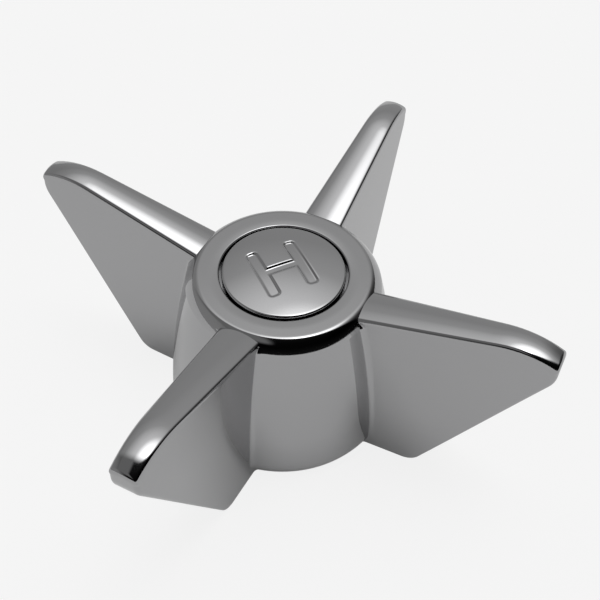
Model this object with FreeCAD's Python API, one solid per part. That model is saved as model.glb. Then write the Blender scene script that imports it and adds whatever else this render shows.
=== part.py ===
import FreeCAD, Part
import math
import os

from FreeCAD import Vector

# Four-bladed tap handle with a snap-in index button, in millimetres.
# Z is the spindle axis, pointing up. The hub's skirt and the blades' feet stand on z = 0.

# Hub, a bell with a sloping shoulder and a flat rim
hub_height = 25.5
hub_base_radius = 16.5
hub_neck_radius = 13.35
bell_bulge = 0.5
shoulder_width = 1.45
shoulder_height = 1.75
shoulder_neck_fullness = 0.05
shoulder_rim_fullness = 0.3
base_round = 4.5
base_round_height = 3.2

# Blades, which thin out towards the tip and the top
blade_count = 4
tip_reach = 38.0
foot_reach = 22.9
nose_lift = 0.3
nose_round = 4.0
spine_root_reach = 12.7
spine_rise_deg = 12.66
spine_bend_reach = 30.0
spine_bend_radius = 13.5
crown_radius_root = 9.0
crown_radius_tip = 2.6
root_half_width = 2.9
plan_taper_deg = 2.2
side_draft_deg = 1.9
blade_edge_round = 0.55
root_fillet = 0.8
floor_edge_round = 0.25

# Index button, and the pocket that it snaps into
button_radius = 8.4
button_stand_out = 0.1
button_dome = 0.8
button_edge_round = 0.35
button_wall = 1.5
button_gap = 0.35
pocket_depth = 2.3
pocket_edge_round = 0.3
spigot_length = 2.4
spigot_wall = 1.2
spigot_clearance = 0.05
spigot_slots = 3
spigot_slot_width = 1.6

# Screw well, web and spindle socket on the axis
well_radius = 6.0
well_depth = 5.4
web_thickness = 2.8
socket_length = 6.0
serration_count = 20
serration_outer_radius = 5.0
serration_inner_radius = 4.4
pilot_radius = 5.3
pilot_length = 3.0
pilot_chamfer = 0.4

# Hollow underneath, with ribs from the socket's boss out to the skirt
skirt_wall = 2.4
ceiling_wall = 2.6
boss_radius = 8.2
boss_draft_deg = 1.5
boss_chamfer = 0.5
cavity_round = 1.0
rib_thickness = 2.0
rib_setback = 1.5

# Fixing screw, whose head stands on the web
screw_radius = 2.4
screw_clearance = 0.2
screw_length = 8.5
screw_tip_chamfer = 0.5
screw_neck_radius = 2.0
screw_neck_length = 3.0
screw_head_radius = 4.3
screw_head_height = 2.6
screw_head_round = 0.8
screw_slot_width = 1.2
screw_slot_depth = 1.3

# Levels and radii that follow from the sizes above
neck_height = hub_height - shoulder_height
spine_root_height = hub_height
nose_corner_height = hub_height + nose_lift
pocket_radius = button_radius + button_gap
pocket_floor = hub_height - pocket_depth
web_top = pocket_floor - well_depth
web_bottom = web_top - web_thickness
pilot_top = web_bottom - socket_length
boss_end = pilot_top - pilot_length
ceiling = pocket_floor - ceiling_wall
overcut = 1.0
tolerance = 0.001

origin = Vector(0, 0, 0)
axis_up = Vector(0, 0, 1)


def point(reach, height):
    return Vector(reach, 0, height)


def towards(start, end, distance):
    return start + (end - start).normalize() * distance


def rounded_face(corners):
    """Face in the XZ plane with (reach, height, round) corners, each round a tangent arc."""
    places = [point(reach, height) for reach, height, _ in corners]
    path = []
    for i, (_, _, radius) in enumerate(corners):
        corner, before, after = places[i], places[i - 1], places[(i + 1) % len(places)]
        if radius == 0:
            path.append((corner, None, corner))
            continue
        half_angle = (before - corner).getAngle(after - corner) / 2
        first = towards(corner, before, radius / math.tan(half_angle))
        last = towards(corner, after, radius / math.tan(half_angle))
        middle = towards(corner, (first + last) * 0.5, radius / math.sin(half_angle) - radius)
        path.append((first, middle, last))
    edges = []
    for i, (first, middle, last) in enumerate(path):
        if middle:
            edges.append(Part.Arc(first, middle, last).toShape())
        edges.append(Part.LineSegment(last, path[(i + 1) % len(path)][0]).toShape())
    return Part.Face(Part.Wire(edges))


def turned(face):
    return face.revolve(origin, axis_up, 360)


def cylinder(radius, bottom, top):
    return Part.makeCylinder(radius, top - bottom, point(0, bottom))


def around(shape, count):
    copies = []
    for turn in range(count):
        copy = shape.copy()
        copy.rotate(origin, axis_up, turn * 360 / count)
        copies.append(copy)
    return copies


def circle_edges(shape, radius, height):
    def matches(edge):
        same_length = abs(edge.Length - 2 * math.pi * radius) < tolerance
        return same_length and abs(edge.CenterOfMass.z - height) < tolerance

    return [edge for edge in shape.Edges if matches(edge)]


# Hub


def on_arc(centre, radius, height):
    return point(centre.x + math.sqrt(radius**2 - (height - centre.z) ** 2), height)


def bell_circle():
    """Circle of the bell's convex side, from the top of its base round to its neck."""
    foot = point(hub_base_radius, base_round_height)
    neck = point(hub_neck_radius, neck_height)
    climb = neck - foot
    outward = Vector(climb.z, 0, -climb.x).normalize()
    return Part.Circle(foot, (foot + neck) * 0.5 + outward * bell_bulge, neck)


def on_bell(height):
    circle = bell_circle()
    return on_arc(circle.Center, circle.Radius, height)


def hub_outside():
    """Hub without its hollow, its base round running on below the floor."""
    foot, neck = on_bell(base_round_height), on_bell(neck_height)
    side = Part.Arc(foot, on_bell((base_round_height + neck_height) / 2), neck)
    base_centre = towards(foot, bell_circle().Center, base_round)
    floor_edge = on_arc(base_centre, base_round, 0)
    base = Part.Arc(floor_edge, on_arc(base_centre, base_round, base_round_height / 2), foot)
    slope = base.tangent(base.FirstParameter)[0]
    below = floor_edge - slope * (overcut / slope.z)
    rim_edge = point(hub_neck_radius - shoulder_width, hub_height)
    rim_centre = point(0, hub_height)
    neck_climb = side.tangent(side.LastParameter)[0]
    shoulder = Part.BezierCurve()
    shoulder.setPoles(
        [
            neck,
            neck + neck_climb * shoulder_neck_fullness * shoulder_height,
            rim_edge + Vector(shoulder_rim_fullness * shoulder_width, 0, 0),
            rim_edge,
        ]
    )
    underside = point(0, -overcut)
    edges = [
        Part.LineSegment(underside, below).toShape(),
        Part.LineSegment(below, floor_edge).toShape(),
        base.toShape(),
        side.toShape(),
        shoulder.toShape(),
        Part.LineSegment(rim_edge, rim_centre).toShape(),
        Part.LineSegment(rim_centre, underside).toShape(),
    ]
    return turned(Part.Face(Part.Wire(edges)))


# Blades


def half_width(reach, height):
    taper = (reach - spine_root_reach) * math.tan(math.radians(plan_taper_deg))
    draft = (height - spine_root_height) * math.tan(math.radians(side_draft_deg))
    return root_half_width - taper - draft


def side_wedge(bottom, top):
    """Space between a blade's two side planes, from the axis to past the tip."""
    rings = []
    for reach in (0, tip_reach + overcut):
        low, high = half_width(reach, bottom), half_width(reach, top)
        corners = [(-low, bottom), (low, bottom), (high, top), (-high, top)]
        rings.append([Vector(reach, across, height) for across, height in corners])
    inner, outer = rings
    for i in range(len(inner)):
        rings.append([inner[i - 1], inner[i], outer[i], outer[i - 1]])
    wedge = Part.Solid(Part.Shell([Part.Face(Part.makePolygon(ring + ring[:1])) for ring in rings]))
    if wedge.Volume < 0:
        wedge.reverse()
    return wedge


def spine_places():
    """Points along the middle of a blade's spine: axis, root, bend, middle of the bend, past the tip."""
    rise = math.radians(spine_rise_deg)
    root = point(spine_root_reach, spine_root_height)
    slope = point(math.cos(rise), math.sin(rise))
    start = root - slope * (root.x / slope.x)
    bend = root + slope * ((spine_bend_reach - root.x) / slope.x)
    centre = bend + point(math.sin(rise), -math.cos(rise)) * spine_bend_radius

    def on_bend(reach):
        return point(reach, centre.z + math.sqrt(spine_bend_radius**2 - (reach - centre.x) ** 2))

    end_reach = tip_reach + overcut
    return start, root, bend, on_bend((bend.x + end_reach) / 2), on_bend(end_reach)


def crown():
    """Round bar whose upper side is the spine, tighter towards the tip, and its axis' two ends."""
    start, root, bend, middle, end = spine_places()
    low = root - axis_up * crown_radius_root
    high = end - axis_up * crown_radius_tip
    axis = (high - low).normalize()
    axis_start = low - axis * (low.x / axis.x)
    edges = [
        Part.LineSegment(axis_start, high).toShape(),
        Part.LineSegment(high, end).toShape(),
        Part.Arc(end, middle, bend).toShape(),
        Part.LineSegment(bend, start).toShape(),
        Part.LineSegment(start, axis_start).toShape(),
    ]
    bar = Part.Face(Part.Wire(edges)).revolve(axis_start, axis, 360)
    bar.rotate(axis_start, axis, 180)
    return bar, axis_start, high


def blade():
    """Blade along +X, from the axis out and from below the floor up."""
    bottom, top = -2 * overcut, hub_height + tip_reach
    wedge = side_wedge(bottom, top)
    widest = half_width(0, bottom)
    lean = (tip_reach - foot_reach) / nose_corner_height
    outline = rounded_face(
        [
            (0, -overcut, 0),
            (foot_reach - lean * overcut, -overcut, 0),
            (tip_reach, nose_corner_height, nose_round),
            (tip_reach, top, 0),
            (0, top, 0),
        ]
    )
    bar, axis_start, axis_end = crown()
    above_axis = [axis_start, axis_end, point(axis_end.x, top), point(0, top), axis_start]
    waste = Part.Face(Part.makePolygon(above_axis))
    across = Vector(0, 2 * widest, 0)
    outline.translate(across * -0.5)
    waste.translate(across * -0.5)
    slab = outline.extrude(across).common(wedge)
    rough = slab.cut(waste.extrude(across).cut(bar)).removeSplitter().Solids[0]

    def is_outer(edge):
        return edge.BoundBox.XMax > spine_root_reach and edge.BoundBox.ZMax > 0

    return rough.makeFillet(blade_edge_round, [edge for edge in rough.Edges if is_outer(edge)])


def root_creases(shape):
    """Edges where a blade's side meets the outside of the hub."""

    def is_blade_side(face):
        return face.Surface.TypeId == "Part::GeomPlane" and abs(face.normalAt(0, 0).z) < 0.5

    creases = []
    for edge in shape.Edges:
        middle = edge.CenterOfMass
        near_hub = math.hypot(middle.x, middle.y) < hub_base_radius + overcut
        sides = [is_blade_side(face) for face in shape.ancestorsOfType(edge, Part.Face)]
        if near_hub and middle.z > 0 and sides.count(True) == 1:
            creases.append(edge)
    return creases


# Handle body, one casting


def hollow():
    """Space under the hub, round the boss and between the ribs."""
    bell_inset = hub_base_radius - skirt_wall
    neck_inset = on_bell(ceiling).x - skirt_wall
    flare = (bell_inset - neck_inset) / ceiling
    boss_slope = math.tan(math.radians(boss_draft_deg))
    boss_end_radius = boss_radius - (ceiling - boss_end) * boss_slope
    space = turned(
        rounded_face(
            [
                (0, -overcut, 0),
                (bell_inset + flare * overcut, -overcut, 0),
                (neck_inset, ceiling, cavity_round),
                (boss_radius, ceiling, cavity_round),
                (boss_end_radius, boss_end + boss_chamfer, 0),
                (boss_end_radius - boss_chamfer, boss_end, 0),
                (0, boss_end, 0),
            ]
        )
    )
    rib = Part.makeBox(
        hub_base_radius,
        rib_thickness,
        hub_height - boss_end - rib_setback,
        Vector(0, -rib_thickness / 2, boss_end + rib_setback),
    )
    return space.cut(around(rib, blade_count))


def serrated_socket():
    corners = []
    for i in range(2 * serration_count + 1):
        radius = serration_outer_radius if i % 2 == 0 else serration_inner_radius
        angle = math.pi * i / serration_count
        corners.append(Vector(radius * math.cos(angle), radius * math.sin(angle), pilot_top - overcut))
    return Part.Face(Part.makePolygon(corners)).extrude(axis_up * (socket_length + overcut))


def bore_spaces():
    """What is cut out along the axis, from the button's pocket down to the mouth of the socket."""
    chamfer = Part.makeCone(
        pilot_radius + pilot_chamfer, pilot_radius, pilot_chamfer, point(0, boss_end)
    )
    return [
        cylinder(pocket_radius, pocket_floor, hub_height + overcut),
        cylinder(well_radius, web_top, pocket_floor + overcut),
        cylinder(screw_radius + screw_clearance, web_bottom - overcut, web_top + overcut),
        serrated_socket(),
        cylinder(pilot_radius, boss_end - overcut, pilot_top),
        chamfer,
    ]


def handle_body():
    outside = hub_outside().fuse(around(blade(), blade_count)).removeSplitter().Solids[0]
    outside = outside.makeFillet(root_fillet, root_creases(outside))
    span = 4 * tip_reach
    below_floor = Part.makeBox(span, span, span, Vector(-span / 2, -span / 2, -span))
    outside = outside.cut(below_floor)
    floor_edges = [edge for edge in outside.Edges if edge.BoundBox.ZMax < tolerance]
    outside = outside.makeFillet(floor_edge_round, floor_edges)
    body = outside.cut([hollow()] + bore_spaces()).removeSplitter().Solids[0]
    return body.makeFillet(pocket_edge_round, circle_edges(body, pocket_radius, hub_height))


# Index button, a domed cap with a slotted spigot


def index_button():
    edge_height = hub_height + button_stand_out
    top = edge_height + button_dome
    spigot_radius = well_radius - spigot_clearance
    spigot_end = pocket_floor - spigot_length
    spigot_inside = spigot_radius - spigot_wall
    blank = turned(
        rounded_face(
            [
                (0, edge_height - button_wall, 0),
                (spigot_inside, edge_height - button_wall, 0),
                (spigot_inside, spigot_end, 0),
                (spigot_radius, spigot_end, 0),
                (spigot_radius, pocket_floor, 0),
                (button_radius, pocket_floor, 0),
                (button_radius, top, 0),
                (0, top, 0),
            ]
        )
    )
    dome_radius = (button_radius**2 + button_dome**2) / (2 * button_dome)
    dome = Part.makeSphere(dome_radius, point(0, top - dome_radius))
    slot = Part.makeBox(
        well_radius,
        spigot_slot_width,
        spigot_length,
        Vector(0, -spigot_slot_width / 2, spigot_end),
    )
    button = blank.common(dome).cut(around(slot, spigot_slots)).Solids[0]
    return button.makeFillet(button_edge_round, circle_edges(button, button_radius, edge_height))


# Fixing screw, with a slotted round-edged head and a relieved neck


def fixing_screw():
    tip = web_top - screw_length
    head_top = web_top + screw_head_height
    screw = turned(
        rounded_face(
            [
                (0, tip, 0),
                (screw_radius - screw_tip_chamfer, tip, 0),
                (screw_radius, tip + screw_tip_chamfer, 0),
                (screw_radius, web_top - screw_neck_length, 0),
                (screw_neck_radius, web_top - screw_neck_length, 0),
                (screw_neck_radius, web_top, 0),
                (screw_head_radius, web_top, 0),
                (screw_head_radius, head_top, screw_head_round),
                (0, head_top, 0),
            ]
        )
    )
    slot = Part.makeBox(
        2 * screw_head_radius,
        screw_slot_width,
        screw_slot_depth,
        Vector(-screw_head_radius, -screw_slot_width / 2, head_top - screw_slot_depth),
    )
    return screw.cut(slot).Solids[0]


pieces = {
    "handle_body": handle_body(),
    "index_button": index_button(),
    "fixing_screw": fixing_screw(),
}
os.makedirs("parts", exist_ok=True)
for name, shape in pieces.items():
    shape.exportStep(f"parts/{name}.step")
    print(name, "valid" if shape.isValid() else "not valid", f"{shape.Volume:.1f} mm3")
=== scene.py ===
import math

import bmesh
import bpy
from mathutils import Matrix, Vector


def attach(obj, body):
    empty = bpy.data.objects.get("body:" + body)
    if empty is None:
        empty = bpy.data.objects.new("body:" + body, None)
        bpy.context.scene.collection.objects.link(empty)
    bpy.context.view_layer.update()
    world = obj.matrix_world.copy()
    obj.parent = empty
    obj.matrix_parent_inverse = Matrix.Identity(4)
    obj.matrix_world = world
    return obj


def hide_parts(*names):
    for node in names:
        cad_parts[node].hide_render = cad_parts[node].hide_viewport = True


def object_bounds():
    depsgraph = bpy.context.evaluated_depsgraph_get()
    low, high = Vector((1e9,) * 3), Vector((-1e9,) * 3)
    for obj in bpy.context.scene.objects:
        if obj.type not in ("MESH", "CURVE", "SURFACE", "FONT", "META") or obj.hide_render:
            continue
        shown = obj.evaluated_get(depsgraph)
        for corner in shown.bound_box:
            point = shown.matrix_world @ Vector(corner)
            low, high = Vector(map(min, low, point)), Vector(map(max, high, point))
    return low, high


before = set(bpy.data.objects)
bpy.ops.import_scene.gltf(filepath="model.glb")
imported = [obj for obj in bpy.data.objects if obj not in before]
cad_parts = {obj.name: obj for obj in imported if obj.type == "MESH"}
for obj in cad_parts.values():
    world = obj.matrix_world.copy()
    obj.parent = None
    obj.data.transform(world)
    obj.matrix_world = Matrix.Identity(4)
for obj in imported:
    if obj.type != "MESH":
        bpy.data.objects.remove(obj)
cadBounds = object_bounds()
scene = bpy.context.scene
mm = 0.001
mergeReach = 1e-4 * mm  # between the grids of one mesh
weldReach = 1e-3 * mm  # between copies, and after a cut
eighthTurn, quarterTurn, fullTurn = math.pi / 4, math.pi / 2, 2 * math.pi
rounds = {"halving": 50, "crown": 12, "fillet": 20}  # of each search


# Helpers


def mix(a, b, t):
    return a + (b - a) * t


def smooth(t):
    t = min(max(t, 0.0), 1.0)
    return t * t * (3 - 2 * t)


def spaced(count, tight):  # from 0 to 1, with a narrow first and last step
    inner = [tight + (1 - 2 * tight) * i / (count - 2) for i in range(count - 1)]
    return [0.0] + inner + [1.0]


def bendSteps(count):
    return [quarterTurn * i / count for i in range(count + 1)]


def polar(radius, angle, z):
    return Vector((radius * math.cos(angle), radius * math.sin(angle), z))


def circle(radius, z, count):
    return [polar(radius, fullTurn * i / count, z) for i in range(count + 1)]


def circleThrough(a, b, c):
    ab, ac = b - a, c - a
    d = 2 * (ab.x * ac.y - ab.y * ac.x)
    centre = a + Vector((ac.y * ab.length_squared - ab.y * ac.length_squared,
                         ab.x * ac.length_squared - ac.x * ab.length_squared)) / d
    return centre, (a - centre).length


def solve(f, low, high):
    for _ in range(rounds["halving"]):
        middle = (low + high) / 2
        if f(middle) < 0:
            low = middle
        else:
            high = middle
    return (low + high) / 2


def addGrid(bm, rows):
    made = [[bm.verts.new(p) for p in row] for row in rows]
    for lower, upper in zip(made, made[1:]):
        for i in range(len(lower) - 1):
            bm.faces.new((lower[i], lower[i + 1], upper[i + 1], upper[i]))


def coons(bottom, top, left, right):  # rows of a patch between four edges
    rows = []
    for j in range(len(left)):
        v = j / (len(left) - 1)
        row = []
        for i in range(len(bottom)):
            u = i / (len(bottom) - 1)
            corners = mix(mix(bottom[0], bottom[-1], u), mix(top[0], top[-1], u), v)
            row.append(mix(bottom[i], top[i], v) + mix(left[j], right[j], u) - corners)
        rows.append(row)
    return rows


def toMetres(bm):
    bmesh.ops.scale(bm, vec=(mm, mm, mm), verts=bm.verts)


def addMirrored(bm):  # across the plane of X and Z
    mirrored = bmesh.ops.duplicate(bm, geom=bm.verts[:] + bm.edges[:] + bm.faces[:])
    copied = [g for g in mirrored["geom"] if isinstance(g, bmesh.types.BMVert)]
    bmesh.ops.scale(bm, vec=(1, -1, 1), verts=copied)


def finishMesh(bm, name, sharpDeg):
    bmesh.ops.remove_doubles(bm, verts=bm.verts, dist=mergeReach)
    bmesh.ops.dissolve_degenerate(bm, edges=bm.edges, dist=mergeReach)
    bmesh.ops.recalc_face_normals(bm, faces=bm.faces)
    mesh = bpy.data.meshes.new(name)
    bm.to_mesh(mesh)
    bm.free()
    mesh.shade_smooth()
    mesh.set_sharp_from_angle(angle=math.radians(sharpDeg))
    made = bpy.data.objects.new(name, mesh)
    scene.collection.objects.link(made)
    return made


def bake(piece):  # its modifiers into its mesh
    depsgraph = bpy.context.evaluated_depsgraph_get()
    baked = bpy.data.meshes.new_from_object(piece.evaluated_get(depsgraph), depsgraph=depsgraph)
    piece.modifiers.clear()
    piece.data = baked
    return baked


def paintOnly(mesh, material):
    mesh.materials.clear()
    mesh.materials.append(material)


# Nodes


def addNode(tree, kind, **values):
    node = tree.nodes.new(kind)
    for name, value in values.items():
        setattr(node, name, value)
    return node


def fill(node, values):
    for name, value in values.items():
        node.inputs[name].default_value = value


def compute(tree, operation, *values):
    node = addNode(tree, "ShaderNodeMath", operation=operation)
    for socket, value in zip(node.inputs, values):
        if isinstance(value, float):
            socket.default_value = value
        else:
            tree.links.new(value, socket)
    return node.outputs[0]


def newTree(name, sockets):
    tree = bpy.data.node_groups.new(name, "GeometryNodeTree")
    for label, kind in [("Geometry", "Geometry")] + sockets + [("Material", "Material")]:
        tree.interface.new_socket(label, in_out="INPUT", socket_type="NodeSocket" + kind)
    tree.interface.new_socket("Geometry", in_out="OUTPUT", socket_type="NodeSocketGeometry")
    return tree, addNode(tree, "NodeGroupInput").outputs, addNode(tree, "NodeGroupOutput").inputs


def endTree(tree, geometry, given, result):
    paint = addNode(tree, "GeometryNodeSetMaterial")
    tree.links.new(geometry, paint.inputs["Geometry"])
    tree.links.new(given["Material"], paint.inputs["Material"])
    tree.links.new(paint.outputs[0], result["Geometry"])
    return tree


def applyNodes(piece, tree, values):
    modifier = piece.modifiers.new(tree.name, "NODES")
    modifier.node_group = tree
    for item in tree.interface.items_tree:
        if item.in_out == "INPUT" and item.name in values:
            modifier[item.identifier] = values[item.name]
    bake(piece).name = piece.name


def aroundAxisTree():  # copies of a mesh round the Z axis, welded into one
    tree, given, result = newTree("aroundAxis", [("Count", "Int"), ("Weld Distance", "Float")])
    link = tree.links.new
    points = addNode(tree, "GeometryNodePoints")
    index = addNode(tree, "GeometryNodeInputIndex")
    turn = addNode(tree, "FunctionNodeAxisAngleToRotation")
    fill(turn, {"Axis": (0, 0, 1)})
    copies = addNode(tree, "GeometryNodeInstanceOnPoints")
    realize = addNode(tree, "GeometryNodeRealizeInstances")
    weld = addNode(tree, "GeometryNodeMergeByDistance")
    share = compute(tree, "DIVIDE", fullTurn, given["Count"])
    link(compute(tree, "MULTIPLY", index.outputs[0], share), turn.inputs["Angle"])
    link(given["Count"], points.inputs["Count"])
    link(points.outputs[0], copies.inputs["Points"])
    link(given["Geometry"], copies.inputs["Instance"])
    link(turn.outputs[0], copies.inputs["Rotation"])
    link(copies.outputs[0], realize.inputs["Geometry"])
    link(realize.outputs[0], weld.inputs["Geometry"])
    link(given["Weld Distance"], weld.inputs["Distance"])
    return endTree(tree, weld.outputs[0], given, result)


aroundAxis = aroundAxisTree()


# Materials


def metal(name, finish):
    material = bpy.data.materials.new(name)
    material.use_nodes = True
    tree = material.node_tree
    shader = tree.nodes["Principled BSDF"]
    fill(shader, {"Base Color": (*finish["color"], 1), "Metallic": 1.0})
    place = addNode(tree, "ShaderNodeTexCoord")
    haze = addNode(tree, "ShaderNodeTexNoise")
    fill(haze, {"Scale": finish["hazeScale"], "Detail": finish["hazeDetail"]})
    levels = addNode(tree, "ShaderNodeMapRange")
    (hazeLow, hazeHigh), (smoothest, roughest) = finish["hazeSpan"], finish["roughness"]
    fill(levels, {"From Min": hazeLow, "From Max": hazeHigh, "To Min": smoothest, "To Max": roughest})
    wave = addNode(tree, "ShaderNodeTexNoise")
    fill(wave, {"Scale": finish["waveScale"], "Detail": finish["waveDetail"]})
    bump = addNode(tree, "ShaderNodeBump")
    fill(bump, {"Strength": 1.0, "Distance": finish["waveDepth"]})
    link = tree.links.new
    link(place.outputs["Object"], haze.inputs["Vector"])
    link(place.outputs["Object"], wave.inputs["Vector"])
    link(haze.outputs[0], levels.inputs["Value"])
    link(levels.outputs["Result"], shader.inputs["Roughness"])
    link(wave.outputs[0], bump.inputs["Height"])
    link(bump.outputs[0], shader.inputs["Normal"])
    return material


grain = {"hazeDetail": 4.0, "hazeSpan": (0.3, 0.7), "waveDetail": 1.0}
chrome = metal("chrome", {
    **grain, "color": (0.405, 0.405, 0.41), "roughness": (0.05, 0.09), "hazeScale": 180.0,
    "waveScale": 90.0, "waveDepth": 0.004 * mm,
})
buttonChrome = metal("buttonChrome", {
    **grain, "color": (0.405, 0.405, 0.41), "roughness": (0.06, 0.10), "hazeScale": 220.0,
    "waveScale": 140.0, "waveDepth": 0.004 * mm,
})
brass = metal("screwBrass", {
    **grain, "color": (0.60, 0.43, 0.19), "roughness": (0.22, 0.34), "hazeScale": 400.0,
    "waveScale": 600.0, "waveDepth": 0.002 * mm,
})


# Handle body, half of one blade's quarter, in millimetres until its mesh is finished

hub = {
    "height": 25.5, "baseRadius": 16.5, "neckRadius": 13.35, "neckHold": 0.05, "bulge": 0.5,
    "shoulderWidth": 1.85, "shoulderHeight": 1.75, "neckFullness": 0.05, "rimFullness": 0.51,
    "rimHold": 0.1, "rimMiddle": 10.4,
    "baseRound": 4.5, "baseRoundHeight": 3.2, "baseFrom": 0.3, "floorRound": 0.25, "floorJoin": 0.07,
    "pocketRadius": 8.75, "pocketEdge": 0.3, "pocketFloor": 23.2,
    "wellRadius": 6.0, "webTop": 17.8, "webBottom": 15.0, "holeRadius": 2.6,
    "serrations": 20, "serrationOut": 5.0, "serrationIn": 4.4,
    "pilotRadius": 5.3, "pilotTop": 9.0, "pilotChamfer": 0.4,
    "bossRadius": 8.2, "bossEnd": 6.0, "bossDraftDeg": 1.5, "bossChamfer": 0.5,
    "ceiling": 20.6, "cavityRound": 1.0, "skirtWall": 2.4, "skirtMiddle": 4.0,
    "ribHalf": 1.0, "ribBottom": 7.5, "sharpDeg": 30,
}
blade = {
    "count": 4, "tip": 38.0, "foot": 22.9, "noseHeight": 25.8, "noseRound": 4.0,
    "rootReach": 12.7, "rootHeight": 25.5, "rootSearch": (11.7, 15.5),
    "riseDeg": 12.66, "bendReach": 30.0, "bendRadius": 13.5,
    "crownRoot": 9.0, "crownTip": 2.2, "overrun": 1.0, "halfWidth": 2.9, "taperDeg": 2.2, "draftDeg": 1.9,
    "edgeRound": 0.55, "tipSetback": 0.5, "rootFillet": 0.8, "footRound": 2.8,
}
divide = {
    "arc": 5, "crown": 8, "fillet": 5, "hub": 12, "spine": 30, "corner": 5, "end": 4, "nose": 6,
    "slant": 14, "footArc": 10, "shoulder": 12, "base": 6, "fade": 9,
    "pocketEdge": 5, "wall": 5, "bend": 4, "rib": 4,
    "spineTight": 0.004, "floorTight": 0.01, "shoulderTight": 0.04,
}

neckHeight = hub["height"] - hub["shoulderHeight"]
bellFoot = Vector((hub["baseRadius"], hub["baseRoundHeight"]))
bellNeck = Vector((hub["neckRadius"], neckHeight))
climb = bellNeck - bellFoot
bellBulge = (bellFoot + bellNeck) / 2 + Vector((climb.y, -climb.x)).normalized() * hub["bulge"]
bellCentre, bellRadius = circleThrough(bellFoot, bellBulge, bellNeck)
baseCentre = bellFoot + (bellCentre - bellFoot).normalized() * hub["baseRound"]
neckTangent = Vector((-(bellNeck - bellCentre).y, (bellNeck - bellCentre).x)).normalized()
rimEdge = Vector((hub["neckRadius"] - hub["shoulderWidth"], hub["height"]))
shoulderPoles = [
    bellNeck,
    bellNeck + neckTangent * hub["neckFullness"] * hub["shoulderHeight"],
    rimEdge + Vector((hub["rimFullness"] * hub["shoulderWidth"], 0)),
    rimEdge,
]


def onShoulder(s):
    a, b, c, d = shoulderPoles
    return a * (1 - s) ** 3 + b * 3 * s * (1 - s) ** 2 + c * 3 * s * s * (1 - s) + d * s ** 3


def shoulderPlace(z):
    return solve(lambda s: onShoulder(s).y - z, 0.0, 1.0)


def outsideRadius(z):
    if z > neckHeight:
        return onShoulder(shoulderPlace(z)).x
    centre, radius = bellCentre, bellRadius
    if z <= hub["baseRoundHeight"]:
        centre, radius = baseCentre, hub["baseRound"]
    return centre.x + math.sqrt(radius ** 2 - (z - centre.y) ** 2)


def outsideTilt(z):
    step = 1e-4
    return math.atan2(outsideRadius(z) - outsideRadius(z + step), step)


# Spine of the blade along +X, a surface of revolution about a rising axis

rise = math.radians(blade["riseDeg"])
spineRoot = Vector((blade["rootReach"], blade["rootHeight"]))
spineSlope = Vector((math.cos(rise), math.sin(rise)))
spineBend = spineRoot + spineSlope * ((blade["bendReach"] - spineRoot.x) / spineSlope.x)
bendCentre = spineBend + Vector((math.sin(rise), -math.cos(rise))) * blade["bendRadius"]
spineEndX = blade["tip"] + blade["overrun"]
spineEndLift = math.sqrt(blade["bendRadius"] ** 2 - (spineEndX - bendCentre.x) ** 2)
spineEnd = Vector((spineEndX, bendCentre.y + spineEndLift))
axisLow = spineRoot - Vector((0, blade["crownRoot"]))
axisHigh = spineEnd - Vector((0, blade["crownTip"]))
along = (axisHigh - axisLow).normalized()
above = Vector((-along.y, along.x))
rootU, rootH = (spineRoot - axisLow).dot(along), (spineRoot - axisLow).dot(above)
bendU, bendH = (spineBend - axisLow).dot(along), (spineBend - axisLow).dot(above)
centreU, centreH = (bendCentre - axisLow).dot(along), (bendCentre - axisLow).dot(above)
taper, draft = math.tan(math.radians(blade["taperDeg"])), math.tan(math.radians(blade["draftDeg"]))
sideNormal = Vector((taper, 1, draft)).normalized()


def meridian(u):
    if u < bendU:
        slope = (bendH - rootH) / (bendU - rootU)
        return rootH + (u - rootU) * slope, slope
    lift = math.sqrt(blade["bendRadius"] ** 2 - (u - centreU) ** 2)
    return centreH + lift, -(u - centreU) / lift


def crownAt(x, y):
    u = (x - axisLow.x) / along.x
    for _ in range(rounds["crown"]):
        radius, slope = meridian(u)
        h = math.sqrt(radius ** 2 - y ** 2)
        u = (x - axisLow.x - above.x * h) / along.x
    lean = radius * slope
    normal = Vector((h * above.x - lean * along.x, y, h * above.y - lean * along.y))
    return axisLow.y + along.y * u + above.y * h, normal.normalized()


def halfWidth(x, z):
    return blade["halfWidth"] - (x - blade["rootReach"]) * taper - (z - blade["rootHeight"]) * draft


def roundInto(centre, radius, normal):
    return [centre + sideNormal.slerp(normal, i / divide["arc"]) * radius for i in range(divide["arc"] + 1)]


def spineSection(x):
    r = blade["edgeRound"]
    qx, qy = x, blade["halfWidth"] - r
    for _ in range(rounds["crown"]):
        z, normal = crownAt(qx, qy)
        centre = Vector((qx, qy, z)) - normal * r
        qx = x + r * normal.x
        qy = halfWidth(centre.x, centre.z) - r / sideNormal.y + r * normal.y
    points = roundInto(centre, r, normal)
    for i in range(1, divide["crown"] + 1):
        t = i / divide["crown"]
        px, py = mix(qx, x, t), qy * (1 - t)
        points.append(Vector((px, py, crownAt(px, py)[0])))
    return points


def flatSection(x, z, nx, nz, r):
    centre = Vector((x - r * nx, 0, z - r * nz))
    centre.y = halfWidth(centre.x, centre.z) - r / sideNormal.y
    points = roundInto(centre, r, Vector((nx, 0, nz)))
    for i in range(1, divide["crown"] + 1):
        points.append(Vector((x, centre.y * (1 - i / divide["crown"]), z)))
    return points


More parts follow.
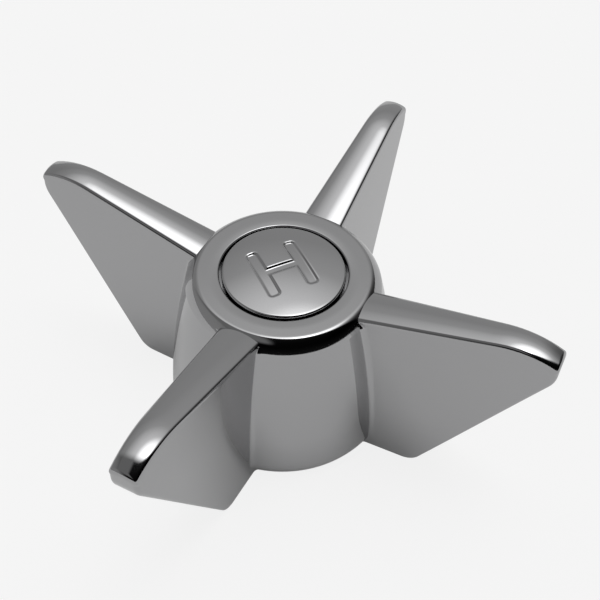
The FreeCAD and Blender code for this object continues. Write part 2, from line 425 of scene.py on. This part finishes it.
def rootFilletAt(z, radius):
    outer = outsideRadius(z)
    lineNormal = Vector((taper, 1)).normalized()
    cx = outer
    for _ in range(rounds["fillet"]):
        cy = halfWidth(cx, z) + radius / lineNormal.y
        cx = math.sqrt((outer + radius) ** 2 - cy ** 2)
    centre = Vector((cx, cy))
    start, end = -lineNormal, -centre.normalized()
    turn = start.angle_signed(end)
    points, normals = [], []
    for i in range(divide["fillet"] + 1):
        direction = start.copy()
        direction.rotate(Matrix.Rotation(-turn * i / divide["fillet"], 2))
        spot = centre + direction * radius
        points.append(Vector((spot.x, spot.y, z)))
        normals.append(-direction)
    return points, normals


def offHub(x, m):
    p = spineSection(x)[m]
    return math.hypot(p.x, p.y) - outsideRadius(p.z)


sections = divide["arc"] + 1 + divide["crown"]
rootX = [solve(lambda x: offHub(x, m), *blade["rootSearch"]) for m in range(sections)]
spineEndAt = blade["tip"] - blade["tipSetback"]
spineRows = []
for f in spaced(divide["spine"], divide["spineTight"]):
    spineRows.append([spineSection(mix(rootX[m], spineEndAt, f))[m] for m in range(sections)])

# Round the tip, down the nose and the slanted edge to the foot, and back along the floor
tipEdge = [Vector((blade["tip"], p.y, p.z)) for p in spineSection(blade["tip"])]
slantDirection = Vector((blade["tip"] - blade["foot"], blade["noseHeight"])).normalized()
slantNormal = Vector((slantDirection.y, -slantDirection.x))
noseTurn = math.atan2(-slantNormal.y, slantNormal.x)
noseReach = blade["noseRound"] * math.tan(noseTurn / 2)
noseTop = blade["noseHeight"] + noseReach
endRows = []
for i in range(divide["end"] + 1):
    row = []
    for m in range(sections):
        z = mix(tipEdge[m].z - blade["tipSetback"], noseTop, i / divide["end"])
        row.append(flatSection(blade["tip"], z, 1, 0, blade["edgeRound"])[m])
    endRows.append(row)
cornerRows = []
for i in range(1, divide["corner"]):
    t = i / divide["corner"]
    poles = zip(spineRows[-1], tipEdge, endRows[0])
    cornerRows.append([a * (1 - t) ** 2 + b * 2 * t * (1 - t) + c * t * t for a, b, c in poles])
noseRows = []
for i in range(1, divide["nose"] + 1):
    turn = noseTurn * i / divide["nose"]
    x = blade["tip"] - blade["noseRound"] * (1 - math.cos(turn))
    z = noseTop - blade["noseRound"] * math.sin(turn)
    noseRows.append(flatSection(x, z, math.cos(turn), -math.sin(turn), blade["edgeRound"]))
footTurn = quarterTurn - noseTurn
footReach = blade["footRound"] * math.tan(footTurn / 2)
slantTop = Vector((blade["tip"], blade["noseHeight"])) - slantDirection * noseReach
slantLow = Vector((blade["foot"], 0)) + slantDirection * footReach
slantRows = []
for i in range(1, divide["slant"] + 1):
    p = slantTop.lerp(slantLow, i / divide["slant"])
    r = mix(blade["edgeRound"], hub["floorRound"], smooth(i / divide["slant"]))
    slantRows.append(flatSection(p.x, p.y, slantNormal.x, slantNormal.y, r))
footRows = []
footCentre = slantLow - slantNormal * blade["footRound"]
for i in range(1, divide["footArc"] + 1):
    turn = noseTurn + footTurn * i / divide["footArc"]
    normal = Vector((math.cos(turn), -math.sin(turn)))
    p = footCentre + normal * blade["footRound"]
    footRows.append(flatSection(p.x, p.y, normal.x, normal.y, hub["floorRound"]))


def floorStart(tilt):
    return hub["floorRound"] * (1 + math.sin(tilt))


def floorRound(start, normal):
    r, down = hub["floorRound"], Vector((0, 0, -1))
    centre = start - normal * r
    return [centre + normal.slerp(down, i / divide["arc"]) * r for i in range(divide["arc"] + 1)]


# Root fillet and hub, row by row from the floor round to the top of the blade's root
rootTop = spineRows[0][0].z
sideTilt = math.asin(sideNormal.z)
hubTilt = outsideTilt(hub["floorJoin"])
filletTilts = [mix(sideTilt, hubTilt, i / divide["fillet"]) for i in range(divide["fillet"] + 1)]
filletFeet, filletNormals = [], []
for i, tilt in enumerate(filletTilts):
    points, normals = rootFilletAt(floorStart(tilt), blade["rootFillet"])
    filletFeet.append(points[i])
    nx, ny = normals[i].x * math.cos(tilt), normals[i].y * math.cos(tilt)
    filletNormals.append(Vector((nx, ny, math.sin(tilt))))


def hubRow(start, z):
    angle = math.atan2(start.y, start.x)
    radius = outsideRadius(z)
    return [polar(radius, mix(angle, eighthTurn, i / divide["hub"]), z) for i in range(divide["hub"] + 1)]


def levelsBetween(low, high, count):
    return [mix(low, high, i / count) for i in range(1, count + 1)]


rightEdge = [spineRows[-1]] + cornerRows + endRows + noseRows + slantRows + footRows
sideLevels = len(rightEdge) - 1 - divide["base"] - divide["fade"] - 2
neckLow, neckHigh = neckHeight - hub["neckHold"], neckHeight + hub["neckHold"]
heights = levelsBetween(hub["baseFrom"], hub["baseRoundHeight"], divide["base"])
heights += levelsBetween(hub["baseRoundHeight"], neckLow, sideLevels)
heights += [neckHeight, neckHigh] + levelsBetween(neckHigh, rootTop, divide["fade"])
filletRows = [filletFeet]
hubRows = [hubRow(filletFeet[-1], floorStart(hubTilt))]
for z in heights:
    radius = blade["rootFillet"] * smooth((rootTop - z) / (rootTop - neckHeight))
    filletRows.append(rootFilletAt(z, radius)[0])
    hubRows.append(hubRow(filletRows[-1][-1], z))
hubUp = Vector((0, 0, math.sin(hubTilt)))
hubNormals = [Vector((p.x, p.y, 0)).normalized() * math.cos(hubTilt) + hubUp for p in hubRows[0]]
filletFloor = [floorRound(p, n) for p, n in zip(filletFeet, filletNormals)]
hubFloor = [floorRound(p, n) for p, n in zip(hubRows[0], hubNormals)]

floorFrom = footCentre.x
floorTo = filletFeet[0].x - hub["floorRound"] * sideNormal.x
floorRows = []
for f in spaced(divide["spine"], divide["floorTight"]):
    floorRows.append(flatSection(mix(floorFrom, floorTo, f), 0, 0, -1, hub["floorRound"]))

# Shoulder, from the crown's root and the hub's last row up to the rim
junction = spineRows[0][::-1] + hubRows[-1][1:]
shoulderRows = []
for t in spaced(divide["shoulder"], divide["shoulderTight"]):
    row = []
    for p in junction:
        place = onShoulder(mix(shoulderPlace(p.z), 1.0, t))
        row.append(polar(place.x, math.atan2(p.y, p.x), place.y))
    shoulderRows.append(row)
columns = len(junction) - 1


def ring(radius, z):
    return [polar(radius, eighthTurn * i / columns, z) for i in range(columns + 1)]


def rimRing(radius):
    return [polar(radius, math.atan2(p.y, p.x), hub["height"]) for p in shoulderRows[-1]]


def serratedRing(z):
    flanks = hub["serrations"] // blade["count"]
    corners = []
    for i in range(flanks + 1):
        radius = hub["serrationOut"] if i % 2 == 0 else hub["serrationIn"]
        corners.append(polar(radius, math.pi / hub["serrations"] * i, z))
    perFlank = columns // flanks
    row = []
    for i in range(columns + 1):
        flank, step = divmod(i, perFlank)
        row.append(corners[flank].lerp(corners[min(flank + 1, flanks)], step / perFlank))
    return row


def cavityRing(radius, z):
    ribEnd = math.asin(hub["ribHalf"] / radius)
    row = []
    for i in range(columns + 1):
        if i <= divide["rib"]:
            y = hub["ribHalf"] * i / divide["rib"]
            row.append(Vector((math.sqrt(radius ** 2 - y ** 2), y, z)))
        else:
            t = (i - divide["rib"]) / (columns - divide["rib"])
            row.append(polar(radius, mix(ribEnd, eighthTurn, t), z))
    return row


# Rim, pocket, well, socket and boss, from the shoulder inwards and down
bossSlope = math.tan(math.radians(hub["bossDraftDeg"]))
skirtFoot = hub["baseRadius"] - hub["skirtWall"]
skirtNeck = outsideRadius(hub["ceiling"]) - hub["skirtWall"]


def bossAt(z):
    return hub["bossRadius"] - (hub["ceiling"] - z) * bossSlope


def skirtAt(z):
    return mix(skirtFoot, skirtNeck, z / hub["ceiling"])


axisRows = [shoulderRows[-1], rimRing(rimEdge.x - hub["rimHold"]), ring(hub["rimMiddle"], hub["height"])]
edge = hub["pocketEdge"]
for turn in bendSteps(divide["pocketEdge"]):
    radius = hub["pocketRadius"] + edge * (1 - math.sin(turn))
    axisRows.append(ring(radius, hub["height"] - edge * (1 - math.cos(turn))))
axisRows += [
    ring(hub["pocketRadius"], hub["pocketFloor"]),
    ring(hub["wellRadius"], hub["pocketFloor"]),
    ring(hub["wellRadius"], hub["webTop"]),
    ring(hub["holeRadius"], hub["webTop"]),
    ring(hub["holeRadius"], hub["webBottom"]),
    serratedRing(hub["webBottom"]),
    serratedRing(hub["pilotTop"]),
    ring(hub["pilotRadius"], hub["pilotTop"]),
    ring(hub["pilotRadius"], hub["bossEnd"] + hub["pilotChamfer"]),
    ring(hub["pilotRadius"] + hub["pilotChamfer"], hub["bossEnd"]),
    cavityRing(bossAt(hub["bossEnd"]) - hub["bossChamfer"], hub["bossEnd"]),
    cavityRing(bossAt(hub["bossEnd"]), hub["bossEnd"] + hub["bossChamfer"]),
    cavityRing(bossAt(hub["ribBottom"]), hub["ribBottom"]),
]

# Hollow round the boss, up to its ceiling and down the skirt
cavityRows = []
bend, wallSteps = hub["cavityRound"], divide["wall"]
wallTop = hub["ceiling"] - bend
for i in range(wallSteps):
    z = mix(hub["ribBottom"], wallTop, i / wallSteps)
    cavityRows.append(cavityRing(bossAt(z), z))
for turn in bendSteps(divide["bend"]):
    radius = bossAt(wallTop) + bend * (1 - math.cos(turn))
    cavityRows.append(cavityRing(radius, wallTop + bend * math.sin(turn)))
ceilingAt = len(cavityRows)
ceilingFrom, ceilingTo = bossAt(wallTop) + bend, skirtAt(wallTop) - bend
cavityRows.append(cavityRing(mix(ceilingFrom, ceilingTo, 0.5), hub["ceiling"]))
for turn in bendSteps(divide["bend"]):
    cavityRows.append(cavityRing(ceilingTo + bend * math.sin(turn), wallTop + bend * math.cos(turn)))
for z in levelsBetween(wallTop, hub["ribBottom"], wallSteps):
    cavityRows.append(cavityRing(skirtAt(z), z))
skirtRows = [cavityRing(skirtAt(z), z) for z in (hub["ribBottom"], hub["skirtMiddle"], 0.0)]
floorEdge = floorRows[-1][divide["arc"]:][::-1]
for rounded in (filletFloor, hubFloor):
    floorEdge += [row[-1] for row in rounded][1:]

bm = bmesh.new()
for rows in (
    spineRows,
    [spineRows[-1]] + cornerRows + endRows,
    [endRows[-1]] + noseRows + slantRows + footRows,
    floorRows,
    filletRows,
    hubRows,
    list(zip(*filletFloor)),
    list(zip(*hubFloor)),
    shoulderRows,
    axisRows,
    [row[divide["rib"]:] for row in cavityRows],
    skirtRows,
    [skirtRows[-1], floorEdge],
):
    addGrid(bm, rows)
addGrid(bm, coons(
    [row[0] for row in floorRows][::-1], [row[0] for row in spineRows],
    [row[0] for row in filletRows], [row[0] for row in rightEdge][::-1]))
ribLine = [row[divide["rib"]] for row in cavityRows]
bossSide = ribLine[:ceilingAt]
ceilingLine = ribLine[ceilingAt - 1:ceilingAt + 2]
skirtSide = ribLine[ceilingAt + 1:][::-1]
ribEdge = [bossSide[0], (bossSide[0] + skirtSide[0]) / 2, skirtSide[0]]
addGrid(bm, coons(ribEdge, ceilingLine, bossSide, skirtSide))
ribInner, ribOuter = [cavityRows[n][:divide["rib"] + 1] for n in (0, -1)]
addGrid(bm, [ribInner, [(a + b) / 2 for a, b in zip(ribInner, ribOuter)], ribOuter])
toMetres(bm)
addMirrored(bm)
handleBody = finishMesh(bm, "handleQuarter", hub["sharpDeg"])
print("handle quarter", len(handleBody.data.vertices), "vertices")

handleBody.name = "handleBody"
applyNodes(handleBody, aroundAxis, {"Count": blade["count"], "Weld Distance": weldReach, "Material": chrome})
for vertex in handleBody.data.vertices:  # kept inside the CAD's box
    vertex.co = [min(max(c, low), high) for c, low, high in zip(vertex.co, *cadBounds)]
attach(handleBody, "root")
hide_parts("handle_body")
print("handle body", len(handleBody.data.polygons), "faces")


# Index button with its engraved letter

button = {
    "radius": 8.4, "edgeHeight": 25.6, "dome": 0.8, "edgeRound": 0.35, "under": 23.2, "wallHold": 0.1,
    "square": 5.0, "cells": 100, "rings": 14, "edgeSteps": 6, "sharpDeg": 35,
    "letterDeg": 52.2, "letterAt": (-0.24, -0.14), "stemSpacing": 5.54, "letterHeight": 8.3,
    "stroke": 1.5, "strokeEnd": 0.5, "bar": 1.15, "depth": 0.26, "wall": 0.5,
}
domeRadius = (button["radius"] ** 2 + button["dome"] ** 2) / (2 * button["dome"])
domeCentre = button["edgeHeight"] + button["dome"] - domeRadius
letterTurn = math.radians(button["letterDeg"])
letterRight = Vector((math.cos(letterTurn), math.sin(letterTurn)))
letterUp = Vector((-letterRight.y, letterRight.x))


def fromBox(px, py, halfX, halfY, r):  # distance from a box with rounded corners
    dx, dy = abs(px) - halfX + r, abs(py) - halfY + r
    return math.hypot(max(dx, 0), max(dy, 0)) + min(max(dx, dy), 0) - r


def letterDistance(px, py):
    apart, half = button["stemSpacing"] / 2, button["stroke"] / 2
    stem = fromBox(abs(px) - apart, py, half, button["letterHeight"] / 2, button["strokeEnd"])
    bar = fromBox(px, py, apart, button["bar"] / 2, 0)
    return min(stem, bar)


def domeHeight(x, y):
    return domeCentre + math.sqrt(domeRadius ** 2 - x * x - y * y)


def buttonTop(px, py):
    x = px * letterRight.x + py * letterUp.x + button["letterAt"][0]
    y = px * letterRight.y + py * letterUp.y + button["letterAt"][1]
    engraved = 1 - smooth(letterDistance(px, py) / button["wall"] + 0.5)
    return Vector((x, y, domeHeight(x, y) - button["depth"] * engraved))


def squareEdge(i):
    side, step = divmod(i, button["cells"])
    t = 2 * step / button["cells"] - 1
    corner = [(t, -1), (1, t), (-t, 1), (-1, -t)][side % 4]
    return corner[0] * button["square"], corner[1] * button["square"]


# A square grid holds the letter, and rings lead from it to the edge and down the wall
bm = bmesh.new()
half, cells = button["square"], button["cells"]
spots = [half * (2 * i / cells - 1) for i in range(cells + 1)]
addGrid(bm, [[buttonTop(px, py) for px in spots] for py in spots])
edgeSteps, edgeRound = button["edgeSteps"], button["edgeRound"]
roundRadius = button["radius"] - edgeRound
roundHeight = domeCentre + math.sqrt((domeRadius - edgeRound) ** 2 - roundRadius ** 2)
roundFrom = math.asin(roundRadius / (domeRadius - edgeRound))
domeEdge = roundRadius * domeRadius / (domeRadius - edgeRound)
wallLevels = [mix(roundHeight, button["under"], button["wallHold"]), button["under"]]
edgeRows = [[] for _ in range(button["rings"] + 1)]
wallRows = [[] for _ in range(edgeSteps + 1 + len(wallLevels))]
for i in range(4 * cells + 1):
    px, py = squareEdge(i)
    start = buttonTop(px, py)
    angle = math.atan2(py, px) + letterTurn
    out = Vector((math.cos(angle), math.sin(angle), 0))
    end = out * domeEdge
    for j, row in enumerate(edgeRows):
        t = j / button["rings"]
        x, y = mix(start.x, end.x, t), mix(start.y, end.y, t)
        row.append(Vector((x, y, domeHeight(x, y))))
    for j in range(edgeSteps + 1):
        turn = mix(roundFrom, quarterTurn, j / edgeSteps)
        spot = out * (roundRadius + edgeRound * math.sin(turn))
        wallRows[j].append(Vector((spot.x, spot.y, roundHeight + edgeRound * math.cos(turn))))
    for row, z in zip(wallRows[edgeSteps + 1:], wallLevels):
        row.append(out * button["radius"] + Vector((0, 0, z)))
addGrid(bm, edgeRows)
addGrid(bm, wallRows)
toMetres(bm)
buttonCap = finishMesh(bm, "buttonCap", button["sharpDeg"])

# Its slotted spigot, half of one third of it and then copies round the axis

spigot = {
    "count": 3, "flange": 7.9, "outside": 5.95, "inside": 4.75, "end": 20.8, "root": 23.2, "recess": 24.1,
    "middle": 0.4, "slotHalf": 0.8, "slotColumns": 2, "columns": 14,
}
slot = spigot["slotColumns"]


def spigotRing(radius, z):
    slotEnd = math.asin(spigot["slotHalf"] / radius)
    row = []
    for i in range(spigot["columns"] + 1):
        if i <= slot:
            angle = math.asin(spigot["slotHalf"] * i / slot / radius)
        else:
            angle = mix(slotEnd, math.pi / spigot["count"], (i - slot) / (spigot["columns"] - slot))
        row.append(polar(radius, angle, z))
    return row


bm = bmesh.new()
outerRoot, outerEnd = [spigotRing(spigot["outside"], spigot[level]) for level in ("root", "end")]
innerRoot, innerEnd = [spigotRing(spigot["inside"], spigot[level]) for level in ("root", "end")]
recessRing = spigotRing(spigot["inside"], spigot["recess"])
middleRing = [Vector((p.x * spigot["middle"], p.y * spigot["middle"], p.z)) for p in recessRing]
addGrid(bm, [spigotRing(spigot["flange"], spigot["root"]), outerRoot])
addGrid(bm, [outerRoot[:slot + 1], innerRoot[:slot + 1]])
addGrid(bm, [row[slot:] for row in (outerRoot, outerEnd, innerEnd, innerRoot)])
addGrid(bm, [innerRoot, recessRing, middleRing])
addGrid(bm, [[outerRoot[slot], innerRoot[slot]], [outerEnd[slot], innerEnd[slot]]])
axisSpot = bm.verts.new((0, 0, spigot["recess"]))
middleVerts = [bm.verts.new(p) for p in middleRing]
for a, b in zip(middleVerts, middleVerts[1:]):
    bm.faces.new((a, b, axisSpot))
toMetres(bm)
addMirrored(bm)
spigotThird = finishMesh(bm, "spigotThird", button["sharpDeg"])
applyNodes(spigotThird, aroundAxis, {
    "Count": spigot["count"], "Weld Distance": weldReach, "Material": buttonChrome,
})
bm = bmesh.new()
bm.from_mesh(buttonCap.data)
bm.from_mesh(spigotThird.data)
bmesh.ops.bridge_loops(bm, edges=[e for e in bm.edges if e.is_boundary])
for leftover in (buttonCap, spigotThird):
    bpy.data.objects.remove(leftover)
indexButton = finishMesh(bm, "indexButton", button["sharpDeg"])
paintOnly(indexButton.data, buttonChrome)
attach(indexButton, "root")
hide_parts("index_button")
print("index button", len(indexButton.data.polygons), "faces")


# Fixing screw, turned, with its thread by rule and a sawn slot

screw = {
    "columns": 72, "tip": 9.3, "tipRadius": 1.9, "radius": 2.4, "threadFrom": 9.8, "threadTo": 14.8,
    "neck": 2.0, "webTop": 17.8, "head": 4.3, "headTop": 20.4, "headRound": 0.8, "headSteps": 6,
    "pitch": 0.8, "threadDepth": 0.4, "runOut": 0.6, "crest": (0.06, 0.44), "rowsPerTurn": 14,
    "slotWidth": 1.2, "slotDepth": 1.3, "sharpDeg": 40,
}


def threadTree():
    lengths = ("Pitch", "Depth", "From", "To", "Run Out")
    tree, given, result = newTree("screwThread", [(name, "Float") for name in lengths])
    link = tree.links.new

    def calc(operation, *values):
        return compute(tree, operation, *values)

    def ramp(value, low, high, levelLow, levelHigh):
        node = addNode(tree, "ShaderNodeMapRange", interpolation_type="SMOOTHSTEP")
        fill(node, {"To Min": levelLow, "To Max": levelHigh})
        for socket, name in ((value, "Value"), (low, "From Min"), (high, "From Max")):
            link(socket, node.inputs[name])
        return node.outputs["Result"]

    place = addNode(tree, "GeometryNodeInputPosition")
    parts = addNode(tree, "ShaderNodeSeparateXYZ")
    link(place.outputs[0], parts.inputs[0])
    x, y, z = parts.outputs
    angle = calc("DIVIDE", calc("ARCTAN2", y, x), fullTurn)
    phase = calc("FRACT", calc("SUBTRACT", calc("DIVIDE", z, given["Pitch"]), angle))
    crest = addNode(tree, "ShaderNodeMapRange")
    fill(crest, {"From Min": screw["crest"][0], "From Max": screw["crest"][1]})
    link(calc("PINGPONG", phase, 0.5), crest.inputs["Value"])
    runFrom = ramp(z, given["From"], calc("ADD", given["From"], given["Run Out"]), 0.0, 1.0)
    runTo = ramp(z, calc("SUBTRACT", given["To"], given["Run Out"]), given["To"], 1.0, 0.0)
    cut = calc("MULTIPLY", crest.outputs["Result"], given["Depth"])
    sink = calc("MULTIPLY", cut, calc("MULTIPLY", runFrom, runTo))
    flat = addNode(tree, "ShaderNodeCombineXYZ")
    link(x, flat.inputs["X"])
    link(y, flat.inputs["Y"])
    outward = addNode(tree, "ShaderNodeVectorMath", operation="NORMALIZE")
    link(flat.outputs[0], outward.inputs[0])
    shift = addNode(tree, "ShaderNodeVectorMath", operation="SCALE")
    link(outward.outputs[0], shift.inputs[0])
    link(calc("MULTIPLY", sink, -1.0), shift.inputs["Scale"])
    move = addNode(tree, "GeometryNodeSetPosition")
    link(given["Geometry"], move.inputs["Geometry"])
    link(shift.outputs[0], move.inputs["Offset"])
    realize = addNode(tree, "GeometryNodeRealizeInstances")
    link(move.outputs[0], realize.inputs["Geometry"])
    return endTree(tree, realize.outputs[0], given, result)


turns = (screw["threadTo"] - screw["threadFrom"]) / screw["pitch"]
threadLevels = levelsBetween(screw["threadFrom"], screw["threadTo"], round(turns * screw["rowsPerTurn"]))
profile = [(0.0, screw["tip"]), (screw["tipRadius"], screw["tip"]), (screw["radius"], screw["threadFrom"])]
profile += [(screw["radius"], z) for z in threadLevels]
profile += [(screw["neck"], screw["threadTo"]), (screw["neck"], screw["webTop"])]
profile.append((screw["head"], screw["webTop"]))
for turn in bendSteps(screw["headSteps"]):
    profile.append((
        screw["head"] - screw["headRound"] * (1 - math.cos(turn)),
        screw["headTop"] - screw["headRound"] * (1 - math.sin(turn)),
    ))
profile.append((0.0, screw["headTop"]))
bm = bmesh.new()
addGrid(bm, [circle(r, z, screw["columns"]) for r, z in profile])
toMetres(bm)
fixingScrew = finishMesh(bm, "fixingScrew", screw["sharpDeg"])
applyNodes(fixingScrew, threadTree(), {
    "Pitch": screw["pitch"] * mm, "Depth": screw["threadDepth"] * mm, "From": screw["threadFrom"] * mm,
    "To": screw["threadTo"] * mm, "Run Out": screw["runOut"] * mm, "Material": brass,
})
bm = bmesh.new()
bmesh.ops.create_cube(bm, size=1.0)
slotBox = (3 * screw["head"] * mm, screw["slotWidth"] * mm, 2 * screw["slotDepth"] * mm)
bmesh.ops.scale(bm, vec=slotBox, verts=bm.verts)
bmesh.ops.translate(bm, vec=(0, 0, screw["headTop"] * mm), verts=bm.verts)
slotTool = finishMesh(bm, "slotTool", screw["sharpDeg"])
cutSlot = fixingScrew.modifiers.new("cutSlot", "BOOLEAN")
cutSlot.operation = "DIFFERENCE"
cutSlot.solver = "EXACT"
cutSlot.object = slotTool
slotted = bake(fixingScrew)
bpy.data.objects.remove(slotTool)
bm = bmesh.new()
bm.from_mesh(slotted)
bmesh.ops.remove_doubles(bm, verts=bm.verts, dist=weldReach)
bm.to_mesh(slotted)
bm.free()
slotted.shade_smooth()
slotted.set_sharp_from_angle(angle=math.radians(screw["sharpDeg"]))
paintOnly(slotted, brass)
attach(fixingScrew, "root")
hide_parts("fixing_screw")
print("fixing screw", len(slotted.polygons), "faces")


# Camera, at the photograph's angle

camera = {
    "right": (0.892319, 0.450816, 0.023065), "up": (-0.348567, 0.655665, 0.669779),
    "back": (0.286824, -0.605696, 0.742202), "place": (39.47635, -77.98411, 116.5501),
    "lens": 56.3, "sensor": 36.0, "clipStart": 0.005,
}
away = -Vector((camera["place"][0], camera["place"][1], 0)).normalized()
rightward = Vector((away.y, -away.x, 0))
upward = Vector((0, 0, 1))
lens = bpy.data.cameras.new("camera")
lens.lens = camera["lens"]
lens.sensor_width = camera["sensor"]
lens.clip_start = camera["clipStart"]
cameraObject = bpy.data.objects.new("camera", lens)
cameraTurn = Matrix((camera["right"], camera["up"], camera["back"])).transposed()
cameraObject.matrix_world = Matrix.Translation(Vector(camera["place"]) * mm) @ cameraTurn.to_4x4()
scene.collection.objects.link(cameraObject)
scene.camera = cameraObject
scene.view_settings.view_transform = "Standard"

# Floor, in metres, pale to the camera and dimmer in the metal, darkest close to the handle by painted
# contact shade

ground = {
    "height": -2e-5, "flat": 0.35, "radius": 0.9, "rise": 0.12, "rings": 24, "columns": 96, "sharpDeg": 30,
    "color": (0.9, 0.9, 0.9), "roughness": 0.9, "pale": 0.85, "mirrored": 0.5,
    "paintedShadeReach": 0.009, "paintedShadeSamples": 8,
}
bm = bmesh.new()
sweep = [(0.0, ground["height"]), (ground["flat"], ground["height"])]
for t in levelsBetween(0.0, 1.0, ground["rings"]):
    sweep.append((mix(ground["flat"], ground["radius"], t), ground["rise"] * t * t))
addGrid(bm, [circle(r, z, ground["columns"]) for r, z in sweep])
floor = finishMesh(bm, "floor", ground["sharpDeg"])
floor.data.flip_normals()  # to face up
floorPaint = bpy.data.materials.new("floorPaint")
floorPaint.use_nodes = True
paper = floorPaint.node_tree
matt = paper.nodes["Principled BSDF"]
fill(matt, {
    "Base Color": (*ground["color"], 1), "Roughness": ground["roughness"], "Specular IOR Level": 0.0,
})


def blend(share, first, second):
    node = addNode(paper, "ShaderNodeMixShader")
    for socket, value in zip(node.inputs, (share, first, second)):
        paper.links.new(value, socket)
    return node.outputs[0]


rays = addNode(paper, "ShaderNodeLightPath").outputs
# painted contact shade: ambient occlusion dims the floor's pale share, as the metal mirrors it, close to the
# handle
paintedShadeNear = addNode(paper, "ShaderNodeAmbientOcclusion", samples=ground["paintedShadeSamples"])
fill(paintedShadeNear, {"Distance": ground["paintedShadeReach"]})
seen = compute(paper, "MULTIPLY", rays["Is Camera Ray"], ground["pale"])
inMetal = compute(paper, "MAXIMUM", rays["Is Glossy Ray"], rays["Is Transmission Ray"])
paintedContactShade = compute(paper, "MULTIPLY", paintedShadeNear.outputs["AO"], ground["mirrored"])
shadedMetalShare = compute(paper, "MULTIPLY", inMetal, paintedContactShade)
pale = addNode(paper, "ShaderNodeEmission")
fill(pale, {"Color": (1, 1, 1, 1)})
fromAbove = blend(compute(paper, "MAXIMUM", seen, shadedMetalShare), matt.outputs[0], pale.outputs[0])
# Seen from below, the floor lets the underside show
face = addNode(paper, "ShaderNodeNewGeometry")
clear = addNode(paper, "ShaderNodeBsdfTransparent")
oneSided = blend(face.outputs["Backfacing"], fromAbove, clear.outputs[0])
paper.links.new(oneSided, paper.nodes["Material Output"].inputs["Surface"])
floor.data.materials.append(floorPaint)

# Soft round lamp overhead

lamp = {"distance": 0.6, "tiltDeg": 10.0, "right": 1.0, "behind": 0.3, "size": 0.13, "power": 0.1}
lampTilt = math.radians(lamp["tiltDeg"])
lampAcross = (rightward * lamp["right"] + away * lamp["behind"]).normalized()
lampUp = lampAcross * math.sin(lampTilt) + Vector((0, 0, math.cos(lampTilt)))
box = bpy.data.lights.new("overheadBox", "AREA")
box.shape = "DISK"
box.size = lamp["size"]
box.energy = lamp["power"]
boxObject = bpy.data.objects.new("overheadBox", box)
boxTurn = lampUp.to_track_quat("Z", "Y").to_matrix()
boxObject.matrix_world = Matrix.Translation(lampUp * lamp["distance"]) @ boxTurn.to_4x4()
scene.collection.objects.link(boxObject)

# Studio round the object: pale walls behind, a glow round the lamp, dark in front

studio = {
    "wallLevels": [(0.0, 0.46), (0.5, 0.46), (0.72, 0.6), (0.95, 1.3)],
    "glowLevel": 1.7, "glowDeg": (25.0, 2.0),
    "leftShade": 0.8, "leftSpan": (-0.6, 0.0), "rightShade": 0.1, "rightSpan": (0.45, 0.85),
    "frontLevel": 0.005, "frontEdge": (-0.1, 0.03), "darkEdge": (-0.08, 0.1), "darkSkew": 0.5,
    "leftEdge": (0.5, 0.9),
    "upperLeft": 0.24, "upperLeftSide": (0.1, 0.25), "upperLeftHeight": (0.55, 0.75),
    "hazeLevel": 0.01, "hazeSpan": (0.0, 0.5),
}
world = bpy.data.worlds.new("studio")
scene.world = world
world.use_nodes = True
sky = world.node_tree
background = sky.nodes["Background"]
fill(background, {"Color": (1, 1, 1, 1)})
direction = addNode(sky, "ShaderNodeTexCoord").outputs["Generated"]
height = addNode(sky, "ShaderNodeSeparateXYZ")
walls = addNode(sky, "ShaderNodeValToRGB")
stops = walls.color_ramp.elements
while len(stops) < len(studio["wallLevels"]):
    stops.new(0.5)
for stop, (place, level) in zip(stops, studio["wallLevels"]):
    stop.position = place
    stop.color = (level, level, level, 1)
sky.links.new(direction, height.inputs[0])
sky.links.new(height.outputs["Z"], walls.inputs["Fac"])


def towards(side, span, levelLow, levelHigh):
    dot = addNode(sky, "ShaderNodeVectorMath", operation="DOT_PRODUCT")
    dot.inputs[1].default_value = side
    ease = addNode(sky, "ShaderNodeMapRange", interpolation_type="SMOOTHSTEP")
    fill(ease, {"From Min": span[0], "From Max": span[1], "To Min": levelLow, "To Max": levelHigh})
    sky.links.new(direction, dot.inputs[0])
    sky.links.new(dot.outputs["Value"], ease.inputs["Value"])
    return ease.outputs["Result"]


def combine(operation, a, b):
    return compute(sky, operation, a, b)


glowSpan = [math.cos(math.radians(a)) for a in studio["glowDeg"]]
glow = towards(lampUp, glowSpan, 0.0, studio["glowLevel"])
leftDim = towards(rightward, studio["leftSpan"], studio["leftShade"], 1.0)
rightDim = towards(rightward, studio["rightSpan"], 1.0, studio["rightShade"])
skewed = (away + rightward * studio["darkSkew"]).normalized()
behind = combine(
    "MINIMUM", towards(away, studio["frontEdge"], studio["frontLevel"], 1.0),
    towards(skewed, studio["darkEdge"], studio["frontLevel"], 1.0),
)
beside = towards(-rightward, studio["leftEdge"], 0.0, 1.0)
upperLeft = combine(
    "MULTIPLY", towards(-rightward, studio["upperLeftSide"], 0.0, studio["upperLeft"]),
    towards(upward, studio["upperLeftHeight"], 0.0, 1.0),
)
haze = towards(upward, studio["hazeSpan"], studio["hazeLevel"], 0.0)
sides = combine("MULTIPLY", leftDim, rightDim)
lit = combine("ADD", combine("MULTIPLY", walls.outputs["Color"], sides), glow)
reached = combine("MAXIMUM", behind, beside)
shown = combine("MAXIMUM", combine("MULTIPLY", lit, reached), upperLeft)
sky.links.new(combine("ADD", shown, haze), background.inputs["Strength"])
print("stage ready")
